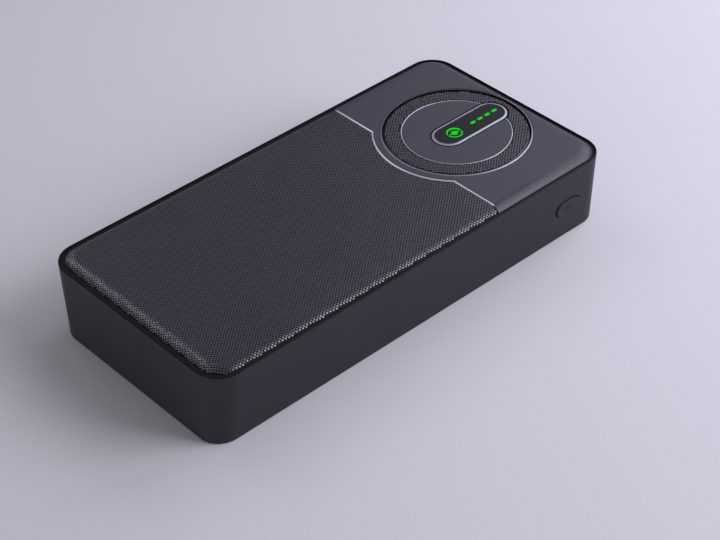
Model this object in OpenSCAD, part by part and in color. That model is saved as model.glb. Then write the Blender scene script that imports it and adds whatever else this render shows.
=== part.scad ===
/* [Case] */
// Length of the case from end to end
case_l = 145; // [130:1:180]
// Width of the case at its rim
case_w = 72; // [68:1:90]
// Height of the case from the table to its rim
case_h = 23.6; // [19:0.1:30]
// Inward lean of each long wall from the rim down to the base
side_draft = 2; // [0:0.1:3]
// Corner radius in plan at the rim
corner_r = 8; // [6.5:0.1:12]
// Corner radius in plan at the base
base_corner_r = 6.7; // [5:0.1:10]
// Rounding where the walls meet the base
base_edge_r = 0.4; // [0.3:0.1:1.5]
// Thickness of the side walls
wall_t = 2.2; // [1.8:0.1:2.8]
// Thickness of the floor
floor_t = 1.8; // [1.2:0.1:2.6]
// Width of the thin lip that rings the cover
lip_w = 0.4; // [0.3:0.1:1]
// Depth of the cover's seat below the rim
seat_depth = 1.6; // [1.2:0.1:2.2]

/* [Top cover] */
// Play of the deck inside the lip
deck_fit = 0.1; // [0.05:0.05:0.2]
// Dark channel between the lip and the panels
seam_w = 1; // [0.3:0.1:1.3]
// Thickness of the cover's deck under the panels
deck_t = 1.2; // [0.8:0.1:1.5]
// Height of the smooth panel above the rim
cover_rise = 1.2; // [0.8:0.1:2]
// Radius of the rounding round the smooth panel
edge_r = 4.5; // [2.5:0.1:6]
// Step down from the smooth panel to the textured panel
panel_step = 0.3; // [0.1:0.05:0.5]
// Seam between the smooth panel and the textured panel
panel_gap = 0.1; // [0.05:0.05:0.3]
// Distance from the port end to the seam between the panels
split_setback = 43.2; // [40:0.1:60]
// Width of each snap clip
clip_w = 8; // [4:0.5:12]
// Thickness of each snap clip
clip_t = 1.2; // [0.8:0.1:1.5]
// How far each snap clip hangs below the deck
clip_drop = 3.6; // [3:0.1:5]
// How far each clip's hook stands out
hook_out = 0.8; // [0.5:0.1:1]
// Height of each clip's hook
hook_h = 1; // [0.6:0.1:1.5]
// Distance from each end of the case to the nearest clip on a long side
clip_end = 18; // [14:0.5:24]
// Distance of each end clip from the middle of the end
end_clip_y = 16; // [10:0.5:20]
// Space between a clip and the wall
clip_play = 0.2; // [0.1:0.05:0.3]

/* [Ring] */
// Distance from the port end to the centre of the ring
ring_setback = 25.35; // [24:0.05:32]
// Radius of the smooth centre disc
disc_r = 15.85; // [14:0.05:17]
// Width of the fine bead round the disc
bead_w = 0.45; // [0.3:0.05:0.8]
// Height of the bead above the disc
bead_rise = 0.05; // [0.05:0.05:0.3]
// Outer radius of the textured ring
ring_r = 21.45; // [19:0.05:21.5]
// How far the disc lies below the smooth panel
disc_drop = 0.2; // [0:0.05:0.4]
// How far the textured ring lies below the disc
ring_drop = 0.05; // [0:0.05:0.4]
// Width of the ring's sloping outer edge
ring_slope = 0.6; // [0.3:0.05:0.8]
// How far the ring's sloping edge falls
ring_fall = 0.4; // [0.2:0.05:0.6]
// Width of the groove between the textured ring and the trim
groove_w = 0.15; // [0.1:0.05:0.8]
// Width of the trim round the groove
trim_w = 0.55; // [0.5:0.05:1]
// Width of the trim's flat crest
trim_crest = 0.2; // [0.1:0.05:0.4]
// How far the trim's slope falls below the smooth panel
trim_fall = 0.25; // [0.1:0.05:0.6]
// Radius of the smooth panel's bulge round the ring
bulge_r = 24.6; // [23.2:0.1:26]
// Clearance between pieces that drop into one another
drop_fit = 0.05; // [0.02:0.01:0.1]

/* [Display] */
// Distance from the port end to the middle of the display
display_setback = 20; // [18:0.1:24]
// Length of the display with its bezel
display_l = 27; // [25.5:0.1:30]
// Width of the display with its bezel
display_w = 9.9; // [8.6:0.1:11]
// Width of the display's bezel
bezel_w = 0.7; // [0.5:0.05:1]
// Width of the bezel's sloping outer edge
bezel_slope = 0.55; // [0.2:0.05:0.6]
// Height of the bezel above the disc
bezel_rise = 0.2; // [0.1:0.05:0.6]
// Height of the window above the disc
window_rise = 0.05; // [0:0.05:0.2]
// Seam round the bezel
bezel_gap = 0.4; // [0.05:0.05:0.5]
// Ledge of the deck that carries the window
window_ledge = 1; // [0.6:0.1:1.4]
// Length of each charge level bar
bar_l = 1.9; // [1.7:0.1:2.4]
// Width of each charge level bar
bar_w = 0.9; // [0.8:0.1:1.6]
// Number of charge level bars
bar_count = 4; // [3:1:4]
// Distance between neighbouring bars
bar_pitch = 2.92; // [2.7:0.02:3]
// Distance from the middle of the display to the first bar
bar_start = 1.35; // [1:0.05:1.5]
// Distance from the middle of the display to the charging symbol
symbol_setback = 6.2; // [6:0.1:7]
// Outer radius of the charging symbol
symbol_r = 2.4; // [2:0.1:2.6]
// Line width of the charging symbol
symbol_line = 0.35; // [0.3:0.05:0.7]
// Angle of the two gaps in the symbol's ring
symbol_turn = -10; // [-90:5:90]
// Depth of the bars and the symbol in the window
mark_t = 0.3; // [0.2:0.05:0.5]

/* [Circuit board] */
// Length of the board
board_l = 36; // [34:0.5:38]
// Thickness of the board
board_t = 1.6; // [1:0.1:1.6]
// Radius of the board's corners
board_corner_r = 1.5; // [1:0.1:3]
// Height of the board's top above the table
board_top = 9.4; // [8:0.1:9.5]
// Space between the board and the port end's wall
board_end_gap = 0.3; // [0.1:0.1:0.6]
// Space between the board and each long wall at the base
board_side_gap = 2.3; // [2:0.1:3]
// Distance from the board's side edges to its screws
screw_inset = 5; // [4:0.1:6]
// Distances from the port end to the two rows of screws
screw_setbacks = [21.5, 35.5];
// Radius of a screw's thread
screw_r = 1; // [0.8:0.05:1.2]
// Length of a screw below its head
screw_l = 5.5; // [4:0.5:6]
// Radius of a screw's head
screw_head_r = 1.9; // [1.6:0.1:2.2]
// Height of a screw's head
screw_head_h = 1.2; // [0.8:0.1:1.5]
// Room under the tip of a screw in its boss
screw_tip_room = 0.5; // [0.2:0.1:1]
// Radial clearance round a screw in its boss
screw_fit = 0.04; // [0.02:0.01:0.08]
// Radial clearance round a screw in the board
screw_play = 0.15; // [0.1:0.05:0.3]
// Outer radius of a screw boss
boss_r = 2.4; // [2:0.1:3]
// Thickness of the ribs that carry the board and stop the cells
rib_t = 1.2; // [0.8:0.1:1.6]
// Width of the ribs that stop the cells
cell_stop_w = 8; // [5:0.5:12]

/* [Ports] */
// Depth of the connector mouths behind the end face
port_recess = 0.5; // [0.2:0.1:0.8]
// Space between a connector and its opening in the case
port_gap = 0.2; // [0.1:0.05:0.4]
// Thickness of the connector shells
shell_t = 0.3; // [0.25:0.05:0.35]
// Width of a type A shell
usb_a_w = 13.1; // [13:0.1:13.4]
// Height of a type A shell
usb_a_h = 5.7; // [5.6:0.1:5.9]
// Depth of a type A shell
usb_a_l = 14; // [12:0.5:16]
// Width of the type A tongue
usb_a_tongue_w = 11; // [10.8:0.1:11.2]
// Thickness of the type A tongue
usb_a_tongue_t = 1.8; // [1.7:0.1:1.9]
// Space above the type A tongue
usb_a_tongue_gap = 0.7; // [0.6:0.05:0.8]
// Width of a type C shell
usb_c_w = 8.9; // [8.8:0.1:9]
// Height of a type C shell
usb_c_h = 3.2; // [3.1:0.1:3.3]
// Depth of a type C shell
usb_c_l = 7.4; // [7:0.1:9]
// Width of the type C tongue
usb_c_tongue_w = 6.7; // [6.6:0.1:6.8]
// Thickness of the type C tongue
usb_c_tongue_t = 0.7; // [0.6:0.05:0.8]
// Width of the micro shell
micro_w = 7.5; // [7.4:0.1:7.6]
// Height of the micro shell
micro_h = 2.5; // [2.4:0.1:2.6]
// Depth of the micro shell
micro_l = 5.2; // [5:0.1:6]
// Width of the micro tongue
micro_tongue_w = 3.6; // [3.4:0.1:3.8]
// Thickness of the micro tongue
micro_tongue_t = 0.6; // [0.5:0.05:0.7]
// Distance from the board's side edges to the two small ports
small_port_inset = 5; // [4.8:0.1:6]
// How far each tongue stops behind its shell's mouth
tongue_setback = 0.8; // [0.6:0.1:1.2]
// Depth of the plastic block at the back of each connector
port_block_l = 2; // [1.5:0.1:3]
// Length of a type A contact
contact_l = 8; // [6:0.5:9]
// Width of a type A contact
contact_w = 1; // [0.8:0.1:1.2]
// Thickness of a type A contact
contact_t = 0.15; // [0.1:0.05:0.2]
// Distance of the contacts from the tongue's tip
contact_setback = 0.5; // [0.3:0.1:1]

/* [Power button] */
// Distance from the port end to the middle of the button
button_setback = 15.2; // [14:0.1:18]
// Length of the button
button_l = 9.2; // [9:0.1:12]
// Height of the button
button_h = 4.8; // [4.6:0.1:6]
// How far the button stands proud of the wall
button_proud = 0.4; // [0.3:0.05:0.5]
// Distance that the button travels when it is pressed
button_travel = 0.4; // [0.2:0.05:0.4]
// Gap round the button in the wall
button_gap = 0.3; // [0.15:0.05:0.4]
// Width of the flange that keeps the button in
button_flange = 0.8; // [0.6:0.1:1]
// Thickness of the flange
button_flange_t = 0.9; // [0.6:0.1:1.2]
// Play between the flange and the inside of the wall
button_play = 0.1; // [0.05:0.05:0.2]
// Radius of the pusher behind the button
pusher_r = 1.4; // [1:0.1:1.6]
// Gap between the pusher and the switch plunger
pusher_gap = 0.05; // [0.02:0.01:0.1]
// Length of the switch body along the board's edge
switch_l = 6; // [5:0.1:7]
// Depth of the switch body
switch_d = 3.5; // [3:0.1:4]
// Height of the switch body
switch_h = 3.2; // [3:0.1:3.4]
// Radius of the switch plunger
plunger_r = 1.1; // [0.9:0.1:1.2]
// How far the plunger stands out of the switch
plunger_out = 1.1; // [0.8:0.1:1.4]
// Length of the plunger inside the switch
plunger_in = 1.2; // [1:0.1:1.6]
// Radial clearance round the plunger
plunger_fit = 0.05; // [0.03:0.01:0.1]

/* [Cells] */
// Thickness of the foam pads under and over the cells
pad_t = 0.5; // [0.3:0.1:1]
// Thickness of the tape between the cells
tape_t = 0.2; // [0.1:0.1:0.4]
// Distance of the tape from the cells' edges
tape_inset = 8; // [3:0.5:15]
// Distance of the foam pads from the cells' edges
pad_inset = 6; // [3:0.5:15]
// Space between the cells and what stands beside them
cell_gap = 0.8; // [0.5:0.1:1.5]
// Radius of the cells' long edges
cell_edge_r = 2; // [1:0.1:3]
// Length of the sealed flap at each cell's tab end
flap_l = 2.5; // [2:0.1:4]
// Thickness of the sealed flap
flap_t = 0.4; // [0.3:0.1:0.6]
// Space between the flap and the board
tab_room = 2.5; // [2:0.1:4]
// Width of the connecting strips
strip_w = 8; // [5:0.5:10]
// Thickness of the connecting strips
strip_t = 0.2; // [0.1:0.05:0.3]
// Distance of each strip from the middle
strip_y = 12; // [10:0.5:15]
// Radius of the power leads
lead_r = 0.8; // [0.5:0.1:1]
// Bend radius of the power leads
lead_bend = 2; // [1.6:0.1:2.2]

/* [Light guide] */
// Width of the light baffle
baffle_w = 4.4; // [4:0.1:5]
// Space between the baffle and what stands beside it
baffle_gap = 0.3; // [0.2:0.05:0.5]
// Length of each bar's light pipe
pipe_l = 1.6; // [1.2:0.1:1.8]
// Width of each bar's light pipe
pipe_w = 1; // [0.8:0.1:1.2]
// Radius of the charging symbol's light pipe
pipe_r = 1.5; // [1.2:0.1:1.6]
// Clearance round each light pipe
pipe_fit = 0.1; // [0.05:0.01:0.15]
// Height of the light emitting diodes
led_h = 0.6; // [0.4:0.1:0.8]
// Space between a diode and its light pipe
led_gap = 0.2; // [0.1:0.1:0.4]

/* [Hidden] */

$fn = 64;
skin = 0.01;
through = 1;

port_end = case_l/2;
seat_z = case_h - seat_depth;
deck_top = seat_z + deck_t;
panel_top = case_h + cover_rise;
edge_centre_z = panel_top - edge_r;
cover_inset = lip_w + seam_w;
deck_inset = lip_w + deck_fit;
// How far in from the case's outside the panels' edges have their centres
edge_centre_inset = cover_inset + sqrt(pow(edge_r, 2) - pow(deck_top - edge_centre_z, 2));

ring_x = port_end - ring_setback;
split_x = port_end - split_setback;
display_x = port_end - display_setback;
bead_r = disc_r + bead_w;
trim_in_r = ring_r + groove_w;
trim_out_r = trim_in_r + trim_w;
window_l = display_l - 2*bezel_w;
window_w = display_w - 2*bezel_w;
disc_top = panel_top - disc_drop;
window_top = disc_top + window_rise;
symbol_x = display_x - symbol_setback;
bar_xs = [for (i = [0 : bar_count - 1]) display_x + bar_start + i*bar_pitch];

board_x1 = port_end - wall_t - board_end_gap;
board_x0 = board_x1 - board_l;
board_w = case_w - 2*(side_draft + wall_t + board_side_gap);
board_bottom = board_top - board_t;
screw_y = board_w/2 - screw_inset;
mouth_x = port_end - port_recess;
usb_a_y = baffle_w/2 + baffle_gap + usb_a_w/2;
small_port_y = board_w/2 - small_port_inset;
usb_a_z = board_top + usb_a_h/2;
usb_c_z = board_top + usb_c_h/2;
micro_z = board_top + micro_h/2;
usb_a_tongue_z = board_top + usb_a_h - shell_t - usb_a_tongue_gap - usb_a_tongue_t;

button_x = port_end - button_setback;
button_z = board_top + switch_h/2;
switch_front = board_w/2;
plunger_tip = switch_front + plunger_out;
baffle_l = window_l - 2*window_ledge - 2*baffle_gap;

cell_t = (seat_z - floor_t - 2*pad_t - tape_t)/2;
cell_w = case_w - 2*(side_draft + wall_t + cell_gap);
cell_x0 = -case_l/2 + wall_t + clip_play + clip_t + cell_gap;
flap_x1 = board_x0 - tab_room;
cell_x1 = flap_x1 - flap_l;
lower_z = floor_t + pad_t;
upper_z = lower_z + cell_t + tape_t;

// Heights between which a clip's hook lies
hook_z0 = seat_z - clip_drop;
// Inward lean of a long wall at height z
function lean(z) = side_draft*(1 - z/case_h);
// Corner radius of the case at height z
function corner_at(z) = base_corner_r + (corner_r - base_corner_r)*z/case_h;
// Distance of a clip's outer face from the middle, on the long sides and at the closed end
clip_y = case_w/2 - lean(hook_z0) - wall_t - clip_play;
clip_x = case_l/2 - wall_t - clip_play;
clip_xs = [for (i = [0 : 3]) -case_l/2 + clip_end + i*(case_l - 2*clip_end)/3];

// ---- shared shapes ----

module rounded_rect(l, w, r) {
    square([l - 2*r, w], center = true);
    square([l, w - 2*r], center = true);
    for (sx = [-1, 1], sy = [-1, 1])
        translate([sx*(l/2 - r), sy*(w/2 - r)]) circle(r);
}

module pill(l, w) {
    square([l - w, w], center = true);
    for (s = [-1, 1])
        translate([s*(l - w)/2, 0]) circle(w/2);
}

// Stands an outline drawn in width and height up across the case and runs it towards the port end
module run_x(x0, x1, y, z)
    translate([x0, y, z]) rotate([90, 0, 90]) linear_extrude(x1 - x0) children();

// Stands an outline up along the case and runs it from the button side inwards
module run_y(y0, y1, x, z)
    translate([x, y1, z]) rotate([90, 0, 0]) linear_extrude(y1 - y0) children();

module plate(z0, z1)
    translate([0, 0, z0]) linear_extrude(z1 - z0) children();

// One thin layer of the case's leaning outline
module case_layer(z, inset)
    translate([0, 0, z]) linear_extrude(skin)
        rounded_rect(case_l - 2*inset, case_w - 2*inset - 2*lean(z), corner_at(z) - inset);

// The rounded top of the cover, from the deck up, with edge radius r
module crowned(r) {
    first = asin((deck_top - edge_centre_z)/r);
    steps = 7;
    // each layer of the rounding is a step further round the edge
    hull() for (i = [0 : steps]) {
        a = first + (90 - first)*i/steps;
        inset = edge_centre_inset - r*cos(a);
        z = edge_centre_z + r*sin(a);
        translate([0, 0, i == 0 ? z : z - skin]) linear_extrude(skin)
            rounded_rect(case_l - 2*inset, case_w - 2*inset, corner_r - inset);
    }
}

// The smooth panel's plan, grown by a seam
module smooth_plan(seam) {
    translate([split_x - seam, -case_w/2]) square([split_setback + seam, case_w]);
    translate([ring_x, 0]) circle(bulge_r + seam);
}

// Clearance pocket for the display in the pieces round it
module display_cut()
    plate(deck_top - through, panel_top + through)
        translate([display_x, 0]) pill(display_l + 2*bezel_gap, display_w + 2*bezel_gap);

// A flat annulus round the ring's centre
module ring_plate(r0, r1, z1)
    translate([ring_x, 0, 0]) difference() {
        plate(deck_top, z1) circle(r1);
        plate(deck_top - through, z1 + through) circle(r0);
    }

// The slice of space between two offsets from the button side's leaning wall
module wall_slice(outer, inner, x0, x1)
    run_x(x0, x1, 0, 0) polygon([
        [-case_w/2 + outer, case_h], [-case_w/2 + side_draft + outer, 0],
        [-case_w/2 + side_draft + inner, 0], [-case_w/2 + inner, case_h]
    ]);

module clip_places() {
    for (x = clip_xs, s = [0, 180])
        rotate([0, 0, s]) translate([x, clip_y, 0]) children();
    for (y = [-end_clip_y, end_clip_y])
        translate([-clip_x, y, 0]) rotate([0, 0, 90]) children();
}

module screw_places()
    for (d = screw_setbacks, s = [-1, 1])
        translate([port_end - d, s*screw_y, 0]) children();

module usb_a_outline(grow) square([usb_a_w + 2*grow, usb_a_h + 2*grow], center = true);

module usb_c_outline(grow) pill(usb_c_w + 2*grow, usb_c_h + 2*grow);

module micro_outline(grow) {
    w = micro_w/2 + grow;
    h = micro_h/2 + grow;
    slope = micro_h/2;
    polygon([[-w, h], [-w, h - slope], [-w + slope, -h], [w - slope, -h], [w, h - slope], [w, h]]);
}

// ---- case and cover ----

module bottom_case() color([0.20, 0.20, 0.23]) {
    board_rest_x = board_x1 - 2*rib_t;
    difference() {
        hull() {
            for (a = [0 : 30 : 90])
                case_layer(base_edge_r*(1 - cos(a)), base_edge_r*(1 - sin(a)));
            case_layer(case_h - skin, 0);
        }
        hull() {
            case_layer(floor_t, wall_t);
            case_layer(case_h + through, wall_t);
        }
        plate(seat_z, case_h + through)
            rounded_rect(case_l - 2*lip_w, case_w - 2*lip_w, corner_r - lip_w);
        for (s = [-1, 1])
            run_x(port_end - wall_t - through, port_end + through, s*usb_a_y, usb_a_z)
                usb_a_outline(port_gap);
        run_x(port_end - wall_t - through, port_end + through, small_port_y, usb_c_z)
            usb_c_outline(port_gap);
        run_x(port_end - wall_t - through, port_end + through, -small_port_y, micro_z)
            micro_outline(port_gap);
        run_y(-case_w/2 - through, -case_w/2 + side_draft + wall_t + through, button_x, button_z)
            pill(button_l + 2*button_gap, button_h + 2*button_gap);
        clip_places()
            translate([-clip_w/2 - clip_play, -clip_t, hook_z0 - clip_play])
                cube([clip_w + 2*clip_play, clip_t + hook_out + clip_play, hook_h + 2*clip_play]);
    }
    screw_places() difference() {
        plate(floor_t - skin, board_bottom) circle(boss_r);
        plate(board_top - screw_l - screw_tip_room, board_bottom + through) circle(screw_r + screw_fit);
    }
    for (s = [-1, 1])
        translate([board_rest_x, s*usb_a_y - rib_t/2, floor_t - skin])
            cube([2*rib_t, rib_t, board_bottom - floor_t + skin]);
    for (s = [-1, 1])
        translate([cell_x1 + cell_gap/2, s*screw_y - cell_stop_w/2, floor_t - skin])
            cube([rib_t, cell_stop_w, cell_t/2]);
}

module top_cover() color([0.10, 0.10, 0.11]) {
    difference() {
        plate(seat_z, deck_top)
            rounded_rect(case_l - 2*deck_inset, case_w - 2*deck_inset, corner_r - deck_inset);
        plate(seat_z - through, deck_top + through) translate([display_x, 0])
            pill(window_l - 2*window_ledge, window_w - 2*window_ledge);
    }
    clip_places() {
        translate([-clip_w/2, -clip_t, hook_z0]) cube([clip_w, clip_t, clip_drop + skin]);
        translate([-clip_w/2, -skin, hook_z0]) cube([clip_w, hook_out + skin, hook_h]);
    }
}

module textured_panel() color([0.24, 0.24, 0.28])
    difference() {
        crowned(edge_r - panel_step);
        plate(deck_top - through, panel_top + through) smooth_plan(panel_gap);
    }

module smooth_panel() color([0.31, 0.31, 0.35])
    difference() {
        intersection() {
            crowned(edge_r);
            plate(deck_top - through, panel_top + through) smooth_plan(0);
        }
        plate(deck_top - through, panel_top + through)
            translate([ring_x, 0]) circle(trim_out_r + drop_fit);
    }

// ---- ring ----

module ring_trim() color([0.45, 0.45, 0.50])
    translate([ring_x, 0, 0]) rotate_extrude() polygon([
        [trim_in_r, deck_top], [trim_out_r, deck_top], [trim_out_r, panel_top - trim_fall],
        [trim_in_r + trim_crest, panel_top], [trim_in_r, panel_top]
    ]);

module textured_ring() color([0.25, 0.25, 0.28])
    difference() {
        translate([ring_x, 0, 0]) rotate_extrude() polygon([
            [bead_r + drop_fit, deck_top], [ring_r, deck_top], [ring_r, disc_top - ring_drop - ring_fall],
            [ring_r - ring_slope, disc_top - ring_drop], [bead_r + drop_fit, disc_top - ring_drop]
        ]);
        display_cut();
    }

module ring_bead() color([0.50, 0.50, 0.54])
    difference() {
        ring_plate(disc_r, bead_r, disc_top + bead_rise);
        display_cut();
    }

module centre_disc() color([0.31, 0.31, 0.35])
    difference() {
        plate(deck_top, disc_top) translate([ring_x, 0]) circle(disc_r - drop_fit);
        display_cut();
    }

// ---- display ----

module display_bezel() color([0.55, 0.55, 0.60]) {
    crest = disc_top + bezel_rise;
    half = display_w/2;
    profile = [
        [half - bezel_w, deck_top], [half, deck_top], [half, disc_top],
        [half - bezel_slope, crest], [half - bezel_w, crest]
    ];
    straight = display_l - display_w;
    for (s = [0, 180])
        translate([display_x, 0, 0]) rotate([0, 0, s]) {
            translate([straight/2, 0, 0]) rotate([0, 0, -90]) rotate_extrude(angle = 180)
                polygon(profile);
            translate([-straight/2, 0, 0]) rotate([90, 0, 90]) linear_extrude(straight)
                polygon(profile);
        }
}

// The lightning bolt inside the charging symbol
module bolt_plan() {
    r = symbol_r - 1.4*symbol_line;
    half = [[0.78*r, -0.16*r], [-0.14*r, 0.58*r], [-0.14*r, 0.12*r]];
    polygon(concat(half, -half));
}

// The broken ring round the bolt
module arc_plan()
    difference() {
        circle(symbol_r);
        circle(symbol_r - symbol_line);
        rotate([0, 0, symbol_turn]) square([3*symbol_r, 2*symbol_line], center = true);
    }

module display_window() color([0.16, 0.16, 0.18, 0.9])
    difference() {
        plate(deck_top, window_top)
            translate([display_x, 0]) pill(window_l - 2*drop_fit, window_w - 2*drop_fit);
        plate(window_top - mark_t, window_top + through) {
            for (x = bar_xs)
                translate([x, 0]) pill(bar_l + 2*drop_fit, bar_w + 2*drop_fit);
            translate([symbol_x, 0]) circle(symbol_r + drop_fit);
        }
    }

module level_bars() color([0, 0.9, 0])
    plate(window_top - mark_t, window_top)
        for (x = bar_xs)
            translate([x, 0]) pill(bar_l, bar_w);

module charge_symbol() color([0, 0.9, 0])
    plate(window_top - mark_t, window_top) translate([symbol_x, 0]) {
        arc_plan();
        bolt_plan();
    }

module light_baffle() color([0.08, 0.08, 0.08])
    difference() {
        plate(board_top, deck_top) translate([display_x, 0]) pill(baffle_l, baffle_w);
        plate(board_top - through, deck_top + through) {
            for (x = bar_xs)
                translate([x, 0]) square([pipe_l + 2*pipe_fit, pipe_w + 2*pipe_fit], center = true);
            translate([symbol_x, 0]) circle(pipe_r + pipe_fit);
        }
    }

module light_pipes() color([0.85, 0.95, 0.9, 0.6])
    plate(board_top + led_h + led_gap, deck_top) {
        for (x = bar_xs)
            translate([x, 0]) square([pipe_l, pipe_w], center = true);
        translate([symbol_x, 0]) circle(pipe_r);
    }

// ---- power button and its switch ----

module power_button() color([0.21, 0.21, 0.24]) {
    flange_in = wall_t + button_play + button_flange_t;
    reach = button_l;
    intersection() {
        run_y(-case_w/2 - through, -plunger_tip, button_x, button_z) pill(button_l, button_h);
        wall_slice(-button_proud, flange_in, button_x - reach, button_x + reach);
    }
    intersection() {
        run_y(-case_w/2 - through, -plunger_tip, button_x, button_z)
            pill(button_l + 2*button_flange, button_h + 2*button_flange);
        wall_slice(wall_t + button_play, flange_in, button_x - reach, button_x + reach);
    }
    run_y(-case_w/2 + side_draft + wall_t/2, -plunger_tip - pusher_gap, button_x, button_z)
        circle(pusher_r);
}

module switch_plunger() color([0.85, 0.85, 0.82])
    run_y(-plunger_tip, -switch_front + plunger_in, button_x, button_z) circle(plunger_r);

module switch_body() color([0.12, 0.12, 0.12])
    difference() {
        translate([button_x - switch_l/2, -switch_front, board_top]) cube([switch_l, switch_d, switch_h]);
        run_y(-switch_front - through, -switch_front + plunger_in + button_travel + pusher_gap,
              button_x, button_z) circle(plunger_r + plunger_fit);
    }

// ---- circuit board ----

module circuit_board() color([0.05, 0.30, 0.16])
    difference() {
        plate(board_bottom, board_top) translate([board_x0 + board_l/2, 0])
            rounded_rect(board_l, board_w, board_corner_r);
        screw_places() plate(board_bottom - through, board_top + through) circle(screw_r + screw_play);
    }

module board_screws() color([0.72, 0.72, 0.74]) {
    slot_w = screw_head_r/4;
    screw_places() {
        plate(board_top - screw_l, board_top + skin) circle(screw_r);
        difference() {
            plate(board_top, board_top + screw_head_h) circle(screw_head_r);
            translate([0, 0, board_top + screw_head_h]) {
                cube([1.3*screw_head_r, slot_w, screw_head_h], center = true);
                cube([slot_w, 1.3*screw_head_r, screw_head_h], center = true);
            }
        }
    }
}

// A block of one size set on the board, its place given from the port end and the middle
module board_blocks(places, size)
    for (p = places)
        translate([port_end - p[0] - size[0]/2, p[1] - size[1]/2, board_top]) cube(size);

module power_inductors() color([0.25, 0.25, 0.26]) {
    coil_size = [7.3, 6.8, 4];
    board_blocks([for (s = [-1, 1]) [28.5, 9*s]], coil_size);
}

module controller_chips() color([0.07, 0.07, 0.08]) {
    chip_size = [5, 5, 0.9];
    board_blocks([[20.5, 12], [20.5, -12], [29.5, 18]], chip_size);
}

module chip_capacitors() color([0.72, 0.60, 0.42]) {
    chip_size = [1.6, 3.2, 1.2];
    board_blocks([for (d = [17, 23, 33.5], s = [-1, 1]) [d, 5.2*s]], chip_size);
}

module polymer_capacitors() color([0.78, 0.78, 0.80]) {
    can_r = 3.15;
    can_h = 5.8;
    for (s = [-1, 1])
        translate([port_end - 18.5, 18.5*s, board_top]) cylinder(can_h, r = can_r);
}

module indicator_leds() color([0.95, 0.95, 0.85]) {
    led_l = 1.2;
    led_w = 0.8;
    for (x = concat([symbol_x], bar_xs))
        translate([x - led_l/2, -led_w/2, board_top]) cube([led_l, led_w, led_h]);
}

// ---- connectors ----

module usb_a_shell(side) color([0.80, 0.80, 0.82])
    difference() {
        run_x(mouth_x - usb_a_l, mouth_x, side*usb_a_y, usb_a_z) usb_a_outline(0);
        run_x(mouth_x - usb_a_l + shell_t, mouth_x + through, side*usb_a_y, usb_a_z)
            usb_a_outline(-shell_t);
    }

module usb_a_shell_left() usb_a_shell(1);

module usb_a_shell_right() usb_a_shell(-1);

module usb_a_tongues() color([0.92, 0.92, 0.90])
    for (s = [-1, 1]) {
        back = mouth_x - usb_a_l + shell_t;
        run_x(back, back + port_block_l, s*usb_a_y, usb_a_z) usb_a_outline(-shell_t);
        translate([back, s*usb_a_y - usb_a_tongue_w/2, usb_a_tongue_z])
            cube([usb_a_l - shell_t - tongue_setback, usb_a_tongue_w, usb_a_tongue_t]);
    }

module usb_a_contacts() color([0.86, 0.70, 0.32]) {
    outer_y = 3.5;
    inner_y = 1;
    for (s = [-1, 1], y = [-outer_y, -inner_y, inner_y, outer_y])
        translate([mouth_x - tongue_setback - contact_setback - contact_l,
                   s*usb_a_y + y - contact_w/2, usb_a_tongue_z - contact_t])
            cube([contact_l, contact_w, contact_t]);
}

module usb_c_shell() color([0.78, 0.78, 0.80])
    difference() {
        run_x(mouth_x - usb_c_l, mouth_x, small_port_y, usb_c_z) usb_c_outline(0);
        run_x(mouth_x - usb_c_l + shell_t, mouth_x + through, small_port_y, usb_c_z)
            usb_c_outline(-shell_t);
    }

module usb_c_tongue() color([0.10, 0.10, 0.10]) {
    back = mouth_x - usb_c_l + shell_t;
    run_x(back, back + port_block_l, small_port_y, usb_c_z) usb_c_outline(-shell_t);
    translate([back, small_port_y - usb_c_tongue_w/2, usb_c_z - usb_c_tongue_t/2])
        cube([usb_c_l - shell_t - tongue_setback, usb_c_tongue_w, usb_c_tongue_t]);
}

module micro_shell() color([0.78, 0.78, 0.80])
    difference() {
        run_x(mouth_x - micro_l, mouth_x, -small_port_y, micro_z) micro_outline(0);
        run_x(mouth_x - micro_l + shell_t, mouth_x + through, -small_port_y, micro_z)
            micro_outline(-shell_t);
    }

module micro_tongue() color([0.10, 0.10, 0.10]) {
    back = mouth_x - micro_l + shell_t;
    run_x(back, back + port_block_l, -small_port_y, micro_z) micro_outline(-shell_t);
    translate([back, -small_port_y - micro_tongue_w/2, micro_z])
        cube([micro_l - shell_t - tongue_setback, micro_tongue_w, micro_tongue_t]);
}

// ---- cells ----

module cell(z) {
    run_x(cell_x0, cell_x1, 0, z + cell_t/2) rounded_rect(cell_w, cell_t, cell_edge_r);
    translate([cell_x1 - skin, -cell_w/2 + cell_edge_r, z + (cell_t - flap_t)/2])
        cube([flap_l + skin, cell_w - 2*cell_edge_r, flap_t]);
}

module lower_cell() color([0.72, 0.74, 0.76]) cell(lower_z);

module upper_cell() color([0.72, 0.74, 0.76]) cell(upper_z);

// A thin sheet between two heights, set in from the cells' edges
module cell_sheet(z0, z1, inset)
    plate(z0, z1) translate([(cell_x0 + cell_x1)/2, 0])
        square([cell_x1 - cell_x0 - 2*inset, cell_w - 2*inset], center = true);

module cell_tape() color([0.93, 0.93, 0.90]) cell_sheet(lower_z + cell_t, upper_z, tape_inset);

module lower_foam_pad() color([0.15, 0.15, 0.15]) cell_sheet(floor_t, lower_z, pad_inset);

module upper_foam_pad() color([0.15, 0.15, 0.15]) cell_sheet(upper_z + cell_t, seat_z, pad_inset);

// Joins the tabs of both cells behind the board
module cell_strip(side)
    translate([0, side*strip_y + strip_w/2, 0]) rotate([90, 0, 0]) linear_extrude(strip_w) {
        reach = tab_room/2;
        low = lower_z + cell_t/2;
        high = upper_z + cell_t/2;
        translate([flap_x1, low - strip_t/2]) square([reach, strip_t]);
        translate([flap_x1, high - strip_t/2]) square([reach, strip_t]);
        translate([flap_x1 + reach - strip_t, low - strip_t/2]) square([strip_t, high - low + strip_t]);
    }

module positive_strip() color([0.80, 0.80, 0.78]) cell_strip(1);

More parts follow.
